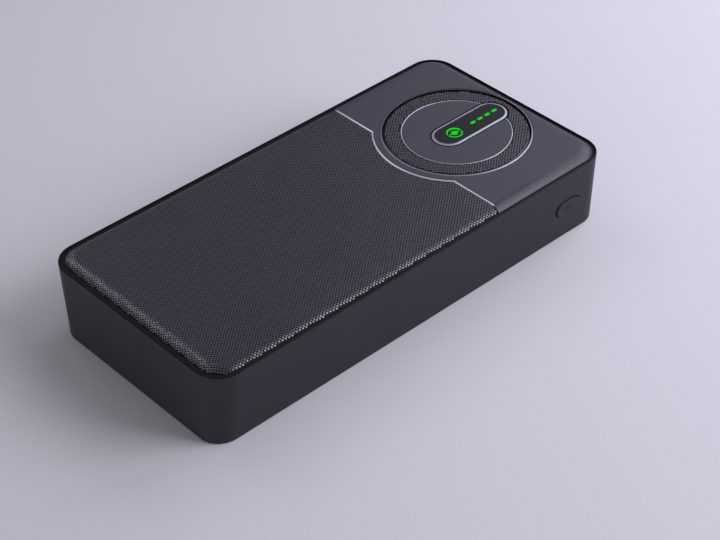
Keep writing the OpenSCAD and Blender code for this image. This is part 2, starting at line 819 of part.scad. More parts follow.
module negative_strip() color([0.80, 0.80, 0.78]) cell_strip(-1);

// Runs from a strip over the board's edge and bends down into the board
module power_lead(side) {
    start = flap_x1 + tab_room/2;
    bend_x = board_x0 + lead_r;
    top = board_top + lead_bend + lead_r;
    translate([0, side*strip_y, 0]) {
        run_x(start, bend_x, 0, top) circle(lead_r);
        translate([bend_x, 0, top - lead_bend]) rotate([90, 0, 0])
            rotate_extrude(angle = 90) translate([lead_bend, 0]) circle(lead_r);
        translate([bend_x + lead_bend, 0, board_top]) cylinder(lead_r, r = lead_r);
    }
}

module positive_lead() color([0.75, 0.08, 0.06]) power_lead(1);

module negative_lead() color([0.06, 0.06, 0.06]) power_lead(-1);

bottom_case();
top_cover();
textured_panel();
smooth_panel();
ring_trim();
textured_ring();
ring_bead();
centre_disc();
display_bezel();
display_window();
level_bars();
charge_symbol();
light_baffle();
light_pipes();
power_button();
switch_plunger();
switch_body();
circuit_board();
board_screws();
usb_a_shell_left();
usb_a_shell_right();
usb_a_tongues();
usb_a_contacts();
usb_c_shell();
usb_c_tongue();
micro_shell();
micro_tongue();
indicator_leds();
power_inductors();
controller_chips();
polymer_capacitors();
chip_capacitors();
lower_cell();
upper_cell();
cell_tape();
lower_foam_pad();
upper_foam_pad();
positive_strip();
negative_strip();
positive_lead();
negative_lead();
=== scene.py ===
"""Power bank: a dark ABS case with a grained cover, a charge display in a ring, and a side button."""

import math

import bpy
import bmesh
from mathutils import Matrix, Vector


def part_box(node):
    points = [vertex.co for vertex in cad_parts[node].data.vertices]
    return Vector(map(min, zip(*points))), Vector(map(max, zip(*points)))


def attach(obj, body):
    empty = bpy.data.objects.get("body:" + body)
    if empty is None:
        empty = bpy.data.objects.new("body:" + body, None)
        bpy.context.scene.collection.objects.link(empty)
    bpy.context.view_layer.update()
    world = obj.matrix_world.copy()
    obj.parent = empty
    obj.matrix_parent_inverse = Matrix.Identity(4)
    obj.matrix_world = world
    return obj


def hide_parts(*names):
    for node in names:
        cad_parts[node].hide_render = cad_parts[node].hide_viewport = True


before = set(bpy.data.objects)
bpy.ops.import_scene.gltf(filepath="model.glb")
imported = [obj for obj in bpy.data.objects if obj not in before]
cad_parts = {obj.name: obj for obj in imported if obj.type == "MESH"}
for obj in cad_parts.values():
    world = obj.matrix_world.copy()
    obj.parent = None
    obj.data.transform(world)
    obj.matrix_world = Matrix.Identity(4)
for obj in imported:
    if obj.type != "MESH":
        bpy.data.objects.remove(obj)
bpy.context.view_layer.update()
mm = 0.001

# ---- The view ----
# A long lens looks down on the near corner, with the button side to the right, on a pale studio floor.
# A large softbox lights the button side, a small one the corner by the sockets, and a low strip the
# short wall. Two more stand behind, so that the flat tops and bright edges catch them.

scene = bpy.context.scene
scene.view_settings.view_transform = "Standard"

view_turn = math.radians(-41.49)
view_tilt = math.radians(38.74)
view_roll = math.radians(-1.68)
view_point = Vector((-284.33, -330.84, 349.28))*mm
back = Vector((math.sin(view_turn)*math.cos(view_tilt), -math.cos(view_turn)*math.cos(view_tilt),
               math.sin(view_tilt)))
level = Vector((math.cos(view_turn), math.sin(view_turn), 0))
rise = back.cross(level)
right = level*math.cos(view_roll) + rise*math.sin(view_roll)
up = rise*math.cos(view_roll) - level*math.sin(view_roll)

camera = bpy.data.objects.new("camera", bpy.data.cameras.new("camera"))
camera.data.sensor_width = 36
camera.data.lens = 98.06
camera.matrix_world = Matrix.Translation(view_point) @ Matrix((right, up, back)).transposed().to_4x4()
scene.collection.objects.link(camera)
scene.camera = camera


def srgb(code):
    """The linear colour of an sRGB hex code."""
    channels = [int(code[i:i + 2], 16)/255 for i in (0, 2, 4)]
    return [c/12.92 if c <= 0.04045 else ((c + 0.055)/1.055)**2.4 for c in channels] + [1]


def add(tree, kind, inputs, **settings):
    """Adds a node; each input takes a value, or the output that it is linked from."""
    node = tree.nodes.new(kind)
    for name, value in settings.items():
        setattr(node, name, value)
    for name, value in inputs.items():
        if isinstance(value, bpy.types.NodeSocket):
            tree.links.new(value, node.inputs[name])
        else:
            node.inputs[name].default_value = value
    return node


def softbox(name, towards, elevation, distance, size, power):
    """A rectangular softbox that faces the object: angles in degrees, sizes in metres, power in watts."""
    lamp = bpy.data.objects.new(name, bpy.data.lights.new(name, "AREA"))
    lamp.data.shape = "RECTANGLE"
    lamp.data.size, lamp.data.size_y = size
    lamp.data.energy = power
    lamp.data.color = srgb("f1eeff")[:3]
    turn, tilt = math.radians(towards), math.radians(elevation)
    way = Vector((math.cos(turn)*math.cos(tilt), math.sin(turn)*math.cos(tilt), math.sin(tilt)))
    facing = way.to_track_quat("Z", "Y").to_matrix().to_4x4()
    lamp.matrix_world = Matrix.Translation(way*distance) @ facing
    scene.collection.objects.link(lamp)


softbox("key", -50, 33, 0.9, (0.55, 0.6), 6.5)
softbox("side", -5, 34, 0.5, (0.25, 0.25), 0.75)
softbox("top", 28, 37, 1.1, (0.5, 0.5), 1.05)
softbox("back", 94, 46, 1.1, (0.6, 0.5), 1.1)
softbox("fill", -174, 5, 1.0, (0.6, 0.12), 2.7)

world = bpy.data.worlds.new("studio")
world.use_nodes = True
world.node_tree.nodes["Background"].inputs["Color"].default_value = srgb("e4e5ea")
world.node_tree.nodes["Background"].inputs["Strength"].default_value = 0.25
scene.world = world

# Uncoated paper, with a faint mottle of fibres and no shine, so that only the soft shadow shows on it
floor_paper = bpy.data.materials.new("white_studio_paper")
floor_paper.use_nodes = True
tree = floor_paper.node_tree
fibres = add(tree, "ShaderNodeTexNoise", {
    "Vector": add(tree, "ShaderNodeTexCoord", {}).outputs["Object"], "Scale": 900.0, "Detail": 3.0})
tint = add(tree, "ShaderNodeMix", {
    0: fibres.outputs["Fac"], 6: srgb("d6d7da"), 7: srgb("dcdde0")}, data_type="RGBA")
shader = tree.nodes["Principled BSDF"]
shader.inputs["Roughness"].default_value = 0.9
shader.inputs["Specular IOR Level"].default_value = 0.2
tree.links.new(tint.outputs[2], shader.inputs["Base Color"])

floor_half = 4
paper = bpy.data.meshes.new("floor")
paper.from_pydata([(-floor_half, -floor_half, 0), (floor_half, -floor_half, 0),
                   (floor_half, floor_half, 0), (-floor_half, floor_half, 0)], [], [(0, 1, 2, 3)])
paper.materials.append(floor_paper)
floor = bpy.data.objects.new("floor", paper)
scene.collection.objects.link(floor)

# ---- Bottom case ----
# The deep tray that holds the cells and the board, moulded in ABS in a spark-eroded tool.
# Its long walls lean in towards the base, and a thin lip stands round the cover.

case_low, case_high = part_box("bottom_case")
case_l = case_high.x - case_low.x
case_w = case_high.y - case_low.y
case_h = case_high.z
port_end = case_high.x
side_draft = 2*mm
corner_r = 8*mm
base_corner_r = 6.7*mm
base_edge_r = 0.4*mm
rim_edge_r = 0.3*mm
lip_edge_r = 0.08*mm
wall_t = 2.2*mm
floor_t = 1.8*mm
lip_w = 0.4*mm
seat_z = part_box("upper_foam_pad")[1].z
corner_steps = 20
flow_size = 18*mm


def moulded(name, colour, mottle, roughness, grain, depth, shine=0.5):
    """A moulded plastic: faint flow mottling, and a fine grain from the tool, of a size and a depth."""
    made = bpy.data.materials.new(name)
    made.use_nodes = True
    tree = made.node_tree
    place = add(tree, "ShaderNodeTexCoord", {}).outputs["Object"]
    flow = add(tree, "ShaderNodeTexNoise", {"Vector": place, "Scale": 1/flow_size, "Detail": 2.0})
    pits = add(tree, "ShaderNodeTexNoise", {"Vector": place, "Scale": 1/grain, "Detail": 3.0})
    colours = add(tree, "ShaderNodeMix", {
        0: flow.outputs["Fac"], 6: srgb(colour), 7: srgb(mottle)}, data_type="RGBA")
    gloss = add(tree, "ShaderNodeMapRange", {
        "Value": pits.outputs["Fac"], "From Min": 0.3, "From Max": 0.7,
        "To Min": roughness - 0.05, "To Max": roughness + 0.05})
    relief = add(tree, "ShaderNodeBump", {"Height": pits.outputs["Fac"], "Distance": depth})
    shader = tree.nodes["Principled BSDF"]
    shader.inputs["Specular IOR Level"].default_value = shine
    tree.links.new(colours.outputs[2], shader.inputs["Base Color"])
    tree.links.new(gloss.outputs["Result"], shader.inputs["Roughness"])
    tree.links.new(relief.outputs["Normal"], shader.inputs["Normal"])
    return made


# Spark erosion leaves a quarter-millimetre grain only 6 microns deep, so the walls look matt and even
case_abs = moulded("spark_eroded_abs", "242429", "29292f", 0.5, 0.25*mm, 0.006*mm, 0.3)
# Matt black: the cover deck's own colour, seen down in the seams; also painted shade on the lip and in
# the pockets round the panels, so that these read as dark lines
black_deck_and_painted_shade = moulded("matt_black_abs_and_painted_shade", "0c0c0e", "0f0f12", 0.6, 0.3*mm, 0.01*mm, 0.2)


def rounded(length, width, radius, z, middle=(0, 0)):
    """A rounded rectangle's points at height z, anticlockwise; a pill has half its width as radius."""
    loop = []
    for quarter, (sx, sy) in enumerate(((1, 1), (-1, 1), (-1, -1), (1, -1))):
        corner = Vector((middle[0] + sx*(length/2 - radius), middle[1] + sy*(width/2 - radius), z))
        for step in range(corner_steps + 1):
            a = math.pi/2*(quarter + step/corner_steps)
            loop.append(corner + radius*Vector((math.cos(a), math.sin(a), 0)))
    return loop


def soften(corners, steps=4):
    """Rounds a section's corners, each given as (out, up, radius)."""
    section = []
    for i, (out, high, radius) in enumerate(corners):
        here = Vector((out, high))
        if not radius:
            section.append(here)
            continue
        before = (Vector(corners[i - 1][:2]) - here).normalized()
        after = (Vector(corners[(i + 1) % len(corners)][:2]) - here).normalized()
        half = before.angle(after)/2
        centre = here + (before + after).normalized()*radius/math.sin(half)
        first = here + before*radius/math.tan(half) - centre
        last = here + after*radius/math.tan(half) - centre
        for step in range(steps + 1):
            section.append(centre + (first.lerp(last, step/steps)).normalized()*radius)
    return section


def loft(name, loops, ring=False):
    """Skins a row of loops with the same number of points; a ring's last loop meets its first."""
    shape = bmesh.new()
    rows = [[shape.verts.new(point) for point in loop] for loop in loops]
    pairs = list(zip(rows, rows[1:]))
    if ring:
        pairs.append((rows[-1], rows[0]))
    else:
        shape.faces.new(reversed(rows[0]))
        shape.faces.new(rows[-1])
    for low, high in pairs:
        for i in range(len(low)):
            j = (i + 1) % len(low)
            shape.faces.new((low[i], low[j], high[j], high[i]))
    bmesh.ops.remove_doubles(shape, verts=shape.verts, dist=0.002*mm)
    bmesh.ops.recalc_face_normals(shape, faces=shape.faces)
    mesh = bpy.data.meshes.new(name)
    shape.to_mesh(mesh)
    shape.free()
    piece = bpy.data.objects.new(name, mesh)
    scene.collection.objects.link(piece)
    return piece


def bake(piece):
    """Turns a piece's modifiers into plain mesh."""
    mesh = bpy.data.meshes.new_from_object(
        piece.evaluated_get(bpy.context.evaluated_depsgraph_get()))
    mesh.name = piece.name
    piece.modifiers.clear()
    piece.data = mesh


def combine(piece, operation, *tools):
    """Cuts, joins or keeps the overlap with each tool, which is then gone."""
    for tool in tools:
        step = piece.modifiers.new(operation, "BOOLEAN")
        step.operation, step.object, step.solver = operation, tool, "EXACT"
    bake(piece)
    for tool in tools:
        bpy.data.objects.remove(tool)


def finish(piece, material, node, stands_for_node=True, body="case", angle=32):
    """Smooths all but the hard edges, gives the piece its material and its body, and hides the CAD node
    that it stands for.
    """
    piece.data.materials.clear()
    piece.data.materials.append(material)
    piece.data.shade_smooth()
    piece.data.set_sharp_from_angle(angle=math.radians(angle))
    even = piece.modifiers.new("even_shading", "WEIGHTED_NORMAL")
    even.keep_sharp = True
    bake(piece)
    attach(piece, body)
    if stands_for_node:
        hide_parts(node)
    return piece


def paint(piece, material, chosen):
    """Gives the chosen faces of a piece another material."""
    piece.data.materials.append(material)
    for face in piece.data.polygons:
        if chosen(face):
            face.material_index = len(piece.data.materials) - 1


def case_outline(inset, z):
    """The case's outline at height z, set in from the wall; the long walls lean."""
    lean = side_draft*(1 - z/case_h)
    radius = base_corner_r + (corner_r - base_corner_r)*z/case_h
    return rounded(case_l - 2*inset, case_w - 2*inset - 2*lean, radius - inset, z)


base_curve = [math.radians(9*i) for i in range(11)]
tray = [case_outline(base_edge_r*(1 - math.sin(a)), base_edge_r*(1 - math.cos(a))) for a in base_curve]
rim = soften([(0, base_edge_r, 0), (0, case_h, rim_edge_r), (lip_w, case_h, lip_edge_r),
              (lip_w, seat_z, 0)])
tray += [case_outline(p.x, p.y) for p in rim[1:-1]]
tray += [case_outline(lip_w, seat_z), case_outline(wall_t, seat_z), case_outline(wall_t, floor_t)]
bottom_case = loft("finished_bottom_case", tray)

# ---- Openings ----
# The case's end wall is pierced for four connectors and its near wall for the button.
# Each opening has a small chamfer at the outer face, as a moulding has.

opening_chamfer = 0.2*mm
button_chamfer = 0.04*mm
port_gap = 0.2*mm
overshoot = 1*mm
usb_a_corner = 0.4*mm
usb_c_corner = (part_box("usb_c_shell")[1].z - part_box("usb_c_shell")[0].z)/2
micro_low, micro_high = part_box("micro_shell")
micro_slope = (micro_high.z - micro_low.z)/2
micro_corner = 0.25*mm


def across(loop, x):
    """Stands a loop drawn in width and height up across the case at x."""
    return [Vector((x, p.x, p.y)) for p in loop]


def pill_port(node, radius):
    """A connector's rounded outline in width and height, for any growth all round."""
    low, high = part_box(node)
    middle = ((low.y + high.y)/2, (low.z + high.z)/2)
    return lambda grow: rounded(high.y - low.y + 2*grow, high.z - low.z + 2*grow, radius + grow, 0,
                                middle)


def micro_port(grow):
    """The micro connector's outline, with its lower corners cut off."""
    half = (micro_high.y - micro_low.y)/2 + grow
    middle = (micro_high.y + micro_low.y)/2
    low, high = micro_low.z - grow, micro_high.z + grow
    corners = ((middle + half, high), (middle - half, high), (middle - half, high - micro_slope),
               (middle - half + micro_slope, low), (middle + half - micro_slope, low),
               (middle + half, high - micro_slope))
    return [Vector((p.x, p.y, 0)) for p in soften([(y, z, micro_corner) for y, z in corners])]


def port_cutter(outline):
    """The tool that opens the end wall for one connector."""
    steps = ((port_end - wall_t - overshoot, 0), (port_end - opening_chamfer, 0),
             (port_end, opening_chamfer), (port_end + overshoot, opening_chamfer))
    return loft("cutter", [across(outline(port_gap + wide), x) for x, wide in steps])


ports = {"usb_a_shell_left": pill_port("usb_a_shell_left", usb_a_corner),
         "usb_a_shell_right": pill_port("usb_a_shell_right", usb_a_corner),
         "usb_c_shell": pill_port("usb_c_shell", usb_c_corner),
         "micro_shell": micro_port}

button_low, button_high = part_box("power_button")
button_flange = 0.8*mm
button_gap = 0.3*mm
button_x = (button_low.x + button_high.x)/2
button_z = (button_low.z + button_high.z)/2
button_l = button_high.x - button_low.x - 2*button_flange
button_h = button_high.z - button_low.z - 2*button_flange


def wall_y(z):
    """Where the outside of the leaning button wall stands at height z."""
    return -case_w/2 + side_draft*(1 - z/case_h)


def on_wall(length, height, depth):
    """A pill on the button wall, at a depth behind the wall's outside."""
    loop = rounded(length, height, height/2, 0, (button_x, button_z))
    return [Vector((p.x, wall_y(p.y) + depth, p.y)) for p in loop]


button_cutter = loft("cutter", [
    on_wall(button_l + 2*(button_gap + wide), button_h + 2*(button_gap + wide), depth)
    for depth, wide in ((-overshoot, button_chamfer), (0, button_chamfer), (button_chamfer, 0),
                        (wall_t + overshoot, 0))])
combine(bottom_case, "DIFFERENCE", *[port_cutter(outline) for outline in ports.values()], button_cutter)

# ---- Screw bosses ----
# Four posts stand on the case's floor under the board, each cored for a self-tapping screw.
# They are moulded with the case in the same ABS, so they are joined to it as one piece.

boss_r = 2.4*mm
boss_core_r = 1.04*mm
boss_foot = 0.2*mm
board_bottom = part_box("circuit_board")[0].z
screws_low, screws_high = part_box("board_screws")
screw_head_r = 1.9*mm
screw_tip_room = 0.5*mm


def circle(radius, z, middle=(0, 0), steps=48):
    """A circle's points at height z, anticlockwise."""
    return [Vector((middle[0] + radius*math.cos(2*math.pi*i/steps),
                    middle[1] + radius*math.sin(2*math.pi*i/steps), z)) for i in range(steps)]


bosses = []
for x in (screws_low.x + screw_head_r, screws_high.x - screw_head_r):
    for y in (screws_low.y + screw_head_r, screws_high.y - screw_head_r):
        bosses.append(loft("boss", [circle(radius, z, (x, y)) for radius, z in (
            (boss_r, floor_t - boss_foot), (boss_r, board_bottom), (boss_core_r, board_bottom),
            (boss_core_r, screws_low.z - screw_tip_room))]))
combine(bottom_case, "UNION", *bosses)
finish(bottom_case, case_abs, "bottom_case")
# Painted shade: the lip's rounded top and its inner side get the deck's black, like the deck beside them,
# so that they read as one dark band with the seam
paint(bottom_case, black_deck_and_painted_shade, lambda face: face.center.z > case_h - rim_edge_r or (
    face.center.z > seat_z and face.center.x*face.normal.x + face.center.y*face.normal.y < 0))

# ---- Top cover ----
# The black ABS deck, moulded in one piece with the clips that snap it into the case.
# It carries the panels, and shows only down in the seam round them.


def give(material, *nodes):
    """Gives CAD nodes their material."""
    for name in nodes:
        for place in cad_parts[name].material_slots:
            place.material = material


give(black_deck_and_painted_shade, "top_cover")

# ---- Textured panel ----
# The cover's main panel, moulded in ABS with a fine grain of small square studs.
# The grain runs over the rounded edges and stops at the step beside the smooth panel.

seam_w = 1*mm
cover_inset = lip_w + seam_w
deck_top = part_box("textured_panel")[0].z
textured_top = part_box("textured_panel")[1].z
panel_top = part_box("smooth_panel")[1].z
panel_gap = 0.1*mm
edge_r = 4.5*mm
textured_edge_r = edge_r - (panel_top - textured_top)
trim_low, trim_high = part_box("ring_trim")
ring_x = (trim_low.x + trim_high.x)/2
trim_out_r = (trim_high.x - trim_low.x)/2
split_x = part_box("textured_panel")[1].x + panel_gap
bulge_r = ring_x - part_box("smooth_panel")[0].x
edge_steps = 12
bulge_steps = 60


def cover_outline(inset, z):
    """The cover's outline at height z, set in from the case's."""
    return rounded(case_l - 2*inset, case_w - 2*inset, corner_r - inset, z)


def first_angle(radius, top):
    """How far up its rounding a panel starts, where it meets the deck."""
    return math.asin((deck_top - top + radius)/radius)


edge_centre_inset = cover_inset + edge_r*math.cos(first_angle(edge_r, panel_top))


def crowned(name, radius, top):
    """A panel blank over the whole cover, with a rounded edge."""
    start = first_angle(radius, top)
    turns = [start + (math.pi/2 - start)*i/edge_steps for i in range(edge_steps + 1)]
    return loft(name, [cover_outline(edge_centre_inset - radius*math.cos(a),
                                     top - radius*(1 - math.sin(a))) for a in turns])


def smooth_side(grow, z):
    """The smooth panel's side of the cover: everything past the split, with a bulge round the ring."""
    edge = split_x - grow
    radius = bulge_r + grow
    half = math.acos((ring_x - edge)/radius)
    bulge = [math.pi - half + 2*half*i/bulge_steps for i in range(bulge_steps + 1)]
    loop = [Vector((case_l, -case_w, z)), Vector((case_l, case_w, z)), Vector((edge, case_w, z))]
    loop += [Vector((ring_x + radius*math.cos(a), radius*math.sin(a), z)) for a in bulge]
    return loop + [Vector((edge, -case_w, z))]


def straight_cutter(outline, *sizes, low=deck_top - overshoot, high=panel_top + overshoot):
    """A tool with upright sides on an outline, through the panels unless given its ends."""
    return loft("cutter", [outline(*sizes, low), outline(*sizes, high)])


# The studs' flat tops are smoother than the walls, so that each one glints where it faces a light
grained_abs = moulded("grained_abs", "42424b", "484852", 0.3, 0.12*mm, 0.003*mm, 1.0)
# Painted shade: the hollows between the studs are a near-black copy of the studs' plastic, standing in
# for the shade among the studs; they keep the eroded tool's matt finish
stud_hollow_painted_shade = moulded("grained_abs_painted_hollow_shade", "0f0f12", "121216", 0.55, 0.12*mm, 0.003*mm, 0.2)
textured_panel = crowned("finished_textured_panel", textured_edge_r, textured_top)
combine(textured_panel, "DIFFERENCE", straight_cutter(smooth_side, panel_gap))
# The panel's body, seen between the studs, takes the hollows' painted shade
finish(textured_panel, stud_hollow_painted_shade, "textured_panel")

# ---- Moulded grain ----
# Rows of low square studs, a good half millimetre wide, set askew to the case.
# They are cut in the mould, so they follow the flat and roll over the rounded edge.

stud_pitch = 0.742*mm
stud_turn = math.radians(39.3)
stud_foot = 0.56*mm
stud_face = 0.42*mm
stud_rise = 0.08*mm
stud_lean = 0.05
stud_margin = 0.3*mm
edge_margin = 0.05*mm
step_margin = 0.1*mm
sunk = 0.02*mm
plate_t = 1*mm
lattice_span = 1.2*case_l

grain = bpy.data.node_groups.new("moulded_grain", "GeometryNodeTree")
for name, kind in (("Area", "Geometry"), ("Span", "Float"), ("Pitch", "Float"), ("Turn", "Float"),
                   ("Flat Half", "Vector"), ("Corner", "Float"), ("Edge Radius", "Float"),
                   ("Top", "Float"), ("Foot", "Float"), ("Face", "Float"), ("Rise", "Float"),
                   ("Lean", "Float"), ("Material", "Material")):
    grain.interface.new_socket(name, in_out="INPUT", socket_type="NodeSocket" + kind)
grain.interface.new_socket("Studs", in_out="OUTPUT", socket_type="NodeSocketGeometry")
given = add(grain, "NodeGroupInput", {}).outputs


def sum_of(operation, first, second=0.0):
    """The result of one step of arithmetic in the tree."""
    return add(grain, "ShaderNodeMath", {0: first, 1: second}, operation=operation).outputs[0]


def vector_of(operation, first, second=(0, 0, 0)):
    """The result of one step of vector arithmetic in the tree."""
    return add(grain, "ShaderNodeVectorMath", {0: first, 1: second}, operation=operation).outputs[0]


def scaled(vector, factor):
    """A vector made longer or shorter in the tree."""
    return add(grain, "ShaderNodeVectorMath", {0: vector, "Scale": factor}, operation="SCALE").outputs[0]


def upright(height):
    """A vector that points straight up in the tree."""
    return add(grain, "ShaderNodeCombineXYZ", {"Z": height}).outputs[0]


# A square lattice, turned askew, loses the points that stand off the area
rows = sum_of("FLOOR", sum_of("DIVIDE", given["Span"], given["Pitch"]))
points = sum_of("ADD", rows, 1.0)
size = sum_of("MULTIPLY", rows, given["Pitch"])
lattice = add(grain, "GeometryNodeMeshGrid", {
    "Size X": size, "Size Y": size, "Vertices X": points, "Vertices Y": points})
askew = add(grain, "FunctionNodeEulerToRotation", {0: upright(given["Turn"])}).outputs[0]
turned = add(grain, "GeometryNodeTransform", {
    "Geometry": lattice.outputs["Mesh"], "Rotation": askew})
here = add(grain, "GeometryNodeInputPosition", {}).outputs[0]
found = add(grain, "GeometryNodeRaycast", {
    "Target Geometry": given["Area"], "Source Position": vector_of("ADD", here, (0, 0, 1)),
    "Ray Direction": (0, 0, -1), "Ray Length": 2.0})
missed = add(grain, "FunctionNodeBooleanMath", {0: found.outputs["Is Hit"]}, operation="NOT")
inside = add(grain, "GeometryNodeDeleteGeometry", {
    "Geometry": turned.outputs[0], "Selection": missed.outputs[0]}, domain="POINT")

# Past the flat, a point's distance is laid off along the arc of the rounded edge
beyond = vector_of("MAXIMUM", vector_of("SUBTRACT", vector_of("ABSOLUTE", here), given["Flat Half"]))
length = add(grain, "ShaderNodeVectorMath", {0: beyond}, operation="LENGTH").outputs["Value"]
past = sum_of("MAXIMUM", sum_of("SUBTRACT", length, given["Corner"]), 0.0)
outward = vector_of("MULTIPLY", vector_of("NORMALIZE", beyond), vector_of("SIGN", here))
bend = sum_of("DIVIDE", past, given["Edge Radius"])
sine, cosine = sum_of("SINE", bend), sum_of("COSINE", bend)
drawn_in = sum_of("SUBTRACT", sum_of("MULTIPLY", given["Edge Radius"], sine), past)
drop = sum_of("MULTIPLY", given["Edge Radius"], sum_of("SUBTRACT", 1.0, cosine))
placed = vector_of("ADD", vector_of("ADD", here, scaled(outward, drawn_in)),
                   upright(sum_of("SUBTRACT", given["Top"], drop)))
# Each stud leans its own way by up to three degrees or so, which makes the grain sparkle
lean = add(grain, "FunctionNodeRandomValue", {0: (-1, -1, -1), 1: (1, 1, 1), "Seed": 0},
           data_type="FLOAT_VECTOR").outputs[0]
facing = vector_of("ADD", vector_of("ADD", scaled(outward, sine), upright(cosine)),
                   scaled(lean, given["Lean"]))
noted = grain.nodes.new("GeometryNodeCaptureAttribute")
noted.capture_items.new("VECTOR", "facing")
grain.links.new(inside.outputs[0], noted.inputs["Geometry"])
grain.links.new(facing, noted.inputs["facing"])
moved = add(grain, "GeometryNodeSetPosition", {"Geometry": noted.outputs["Geometry"], "Position": placed})

# A four-sided cone, cut off flat, stands a little sunk in the panel at each point
half_diagonal = math.sqrt(0.5)
stud = add(grain, "GeometryNodeMeshCone", {
    "Vertices": 4, "Radius Top": sum_of("MULTIPLY", given["Face"], half_diagonal),
    "Radius Bottom": sum_of("MULTIPLY", given["Foot"], half_diagonal),
    "Depth": sum_of("ADD", given["Rise"], sunk)})
squared = add(grain, "GeometryNodeTransform", {
    "Geometry": stud.outputs["Mesh"], "Translation": (0, 0, -sunk), "Rotation": (0, 0, math.pi/4)})
stood = add(grain, "FunctionNodeAlignRotationToVector", {
    "Rotation": askew, "Vector": noted.outputs["facing"]}, axis="Z")
studs = add(grain, "GeometryNodeInstanceOnPoints", {
    "Points": moved.outputs[0], "Instance": squared.outputs[0], "Rotation": stood.outputs[0]})
real = add(grain, "GeometryNodeRealizeInstances", {"Geometry": studs.outputs[0]})
coated = add(grain, "GeometryNodeSetMaterial", {
    "Geometry": real.outputs[0], "Material": given["Material"]})
add(grain, "NodeGroupOutput", {"Studs": coated.outputs[0]})


def studded(area, name, flat, corner, edge, top):
    """Turns a thin plate, the area of a panel laid flat, into the studs that cover it."""
    step = area.modifiers.new("grain", "NODES")
    step.node_group = grain
    sizes = {"Span": lattice_span, "Pitch": stud_pitch, "Turn": stud_turn, "Flat Half": flat,
             "Corner": corner, "Edge Radius": edge, "Top": top, "Foot": stud_foot, "Face": stud_face,
             "Rise": stud_rise, "Lean": stud_lean, "Material": grained_abs}
    for socket in grain.interface.items_tree:
        if socket.name in sizes:
            step[socket.identifier] = sizes[socket.name]
    bake(area)
    area.name = area.data.name = name
    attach(area, "case")
    return area


flat_corner = corner_r - edge_centre_inset
flat_half = (case_l/2 - edge_centre_inset - flat_corner, case_w/2 - edge_centre_inset - flat_corner, 0)
edge_reach = textured_edge_r*(math.pi/2 - first_angle(textured_edge_r, textured_top)) - edge_margin
area = loft("area", [cover_outline(edge_centre_inset - edge_reach, z) for z in (0, plate_t)])
combine(area, "DIFFERENCE", straight_cutter(
    smooth_side, panel_gap + step_margin, low=-overshoot, high=plate_t + overshoot))
panel_grain = studded(area, "panel_grain", flat_half, flat_corner, textured_edge_r, textured_top)

# ---- Smooth panel ----
# The satin ABS end of the cover, bored for the ring and cut for the bulge round it.
# Its step down to the textured panel is a machined chamfer, bright where the finish is cut through.

step_chamfer = 0.45*mm
chamfer_rise = 0.2*mm
shoulder_w = 0.38*mm
ring_fit = 0.05*mm
bore_steps = 192
# A fine even satin that mirrors nothing but shades softly towards the light
satin_abs = moulded("satin_abs", "40404a", "44444e", 0.4, 0.1*mm, 0.0015*mm, 0.3)


def bright(name, colour, roughness, metallic):
    """A machined or plated edge: fine tool lines round it, seen as a slight change of gloss."""
    made = bpy.data.materials.new(name)
    made.use_nodes = True
    tree = made.node_tree
    place = add(tree, "ShaderNodeTexCoord", {}).outputs["Object"]
    lines = add(tree, "ShaderNodeTexNoise", {"Vector": place, "Scale": 1/(0.3*mm), "Detail": 2.0})
    gloss = add(tree, "ShaderNodeMapRange", {
        "Value": lines.outputs["Fac"], "To Min": roughness - 0.06, "To Max": roughness + 0.06})
    shader = tree.nodes["Principled BSDF"]
    shader.inputs["Base Color"].default_value = srgb(colour)
    shader.inputs["Metallic"].default_value = metallic
    tree.links.new(gloss.outputs["Result"], shader.inputs["Roughness"])
    return made


# The cut leaves a half-metallic gloss with fine tool lines: a thin light line between the panels
cut_edge = bright("bright_cut_edge", "dcdce6", 0.4, 0.6)


def round_outline(radius, z):
    """A circle round the ring's axis at height z."""
    return circle(radius, z, (ring_x, 0), bore_steps)


smooth_panel = crowned("finished_smooth_panel", edge_r, panel_top)
# A straight chamfer, then a shoulder that curves on up to the flat
step = [(0, deck_top - overshoot), (0, textured_top), (-step_chamfer, textured_top + chamfer_rise)]
shoulder_rise = panel_top - textured_top - chamfer_rise
for part in (0.25, 0.5, 0.75, 1):
    step.append((-step_chamfer - shoulder_w*part, panel_top - shoulder_rise*(1 - part)**2))
step.append((step[-1][0], panel_top + overshoot))
combine(smooth_panel, "INTERSECT", loft("cutter", [smooth_side(grow, z) for grow, z in step]))
combine(smooth_panel, "DIFFERENCE", straight_cutter(round_outline, trim_out_r + ring_fit))
finish(smooth_panel, satin_abs, "smooth_panel")
paint(smooth_panel, cut_edge, lambda face: textured_top < face.center.z < textured_top + chamfer_rise
      and 0.2 < face.normal.z < 0.97 and face.normal.x < -0.2)

# ---- Ring ----
# A trim with a bright outer slope, a groove, a grained ring, a fine bright bead and a satin disc.
# The grained ring's own outer slope is polished black. All drop into the smooth panel's bore from
# above, and are glued to the deck.

trim_w = 0.55*mm
trim_crest = 0.2*mm
trim_fall = 0.25*mm
trim_in_r = trim_out_r - trim_w
ring_r, ring_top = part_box("textured_ring")[1].yz
bead_r, bead_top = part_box("ring_bead")[1].yz
disc_r, disc_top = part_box("centre_disc")[1].yz
edge_softness = 0.06*mm
ring_slope = 0.6*mm
ring_fall = 0.4*mm
slope_foot_r = 0.1*mm
slope_top_r = 0.5*mm
bead_round = 0.42*(bead_r - disc_r)


def turned_ring(name, corners):
    """A ring turned from a section, each corner given as (radius, height, rounding)."""
    return loft(name, [round_outline(p.x, p.y) for p in soften(corners)], ring=True)


